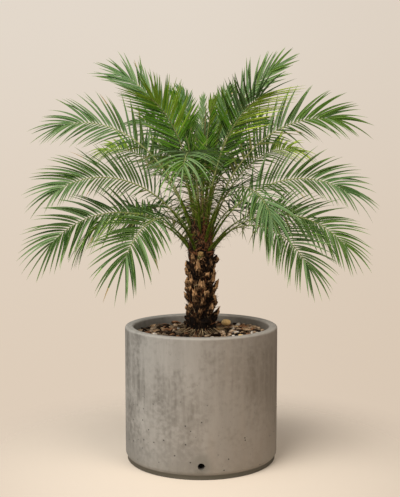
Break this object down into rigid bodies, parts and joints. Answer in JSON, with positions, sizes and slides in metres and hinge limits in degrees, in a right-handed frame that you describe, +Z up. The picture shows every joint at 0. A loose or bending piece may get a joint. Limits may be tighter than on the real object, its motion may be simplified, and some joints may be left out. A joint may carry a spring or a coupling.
{
  "type": "potted phoenix palm",
  "caption": "Feather-leaved palm with a short knobbly trunk and a full crown of arching fronds, growing through bark mulch in a round pot.",
  "frame": {"origin": "centre of the pot's flat underside, on the pot's axis", "axes": "+Z up through the trunk, -Y towards the front, the side with the drain hole, +X to the right as seen from the front"},
  "size_m": [1.1536, 1.0802, 1.3546],
  "materials": {
    "concrete": "fair-faced, matt, mottled grey",
    "bark_mulch": "loose bark chips over soil",
    "trunk_fibre": "knobbly leaf bases and brown fibre",
    "spear_leaf": "unopened leaf, dull sheen",
    "frond_low": "leathery leaf, soft sheen",
    "frond_middle": "leathery leaf, soft sheen",
    "frond_upper": "leathery leaf, soft sheen",
    "frond_top": "leathery leaf, soft sheen",
    "frond_young": "leathery leaf, soft sheen"
  },
  "bodies": {
    "root": {"pot": "concrete", "mulch": "bark_mulch", "trunk": "trunk_fibre", "spear_leaf": "spear_leaf", "frond_low_1": "frond_low", "frond_low_2": "frond_low", "frond_low_3": "frond_low", "frond_low_4": "frond_low", "frond_low_5": "frond_low", "frond_low_6": "frond_low", "frond_low_7": "frond_low", "frond_low_8": "frond_low", "frond_low_9": "frond_low", "frond_middle_1": "frond_middle", "frond_middle_2": "frond_middle", "frond_middle_3": "frond_middle", "frond_middle_4": "frond_middle", "frond_middle_5": "frond_middle", "frond_middle_6": "frond_middle", "frond_middle_7": "frond_middle", "frond_upper_1": "frond_upper", "frond_upper_2": "frond_upper", "frond_upper_3": "frond_upper", "frond_upper_4": "frond_upper", "frond_upper_5": "frond_upper", "frond_upper_6": "frond_upper", "frond_top_1": "frond_top", "frond_top_2": "frond_top", "frond_top_3": "frond_top", "frond_top_4": "frond_top", "frond_top_5": "frond_top", "frond_top_6": "frond_top", "frond_young_1": "frond_young", "frond_young_2": "frond_young", "frond_young_3": "frond_young", "frond_young_4": "frond_young"}
  },
  "joints": []
}
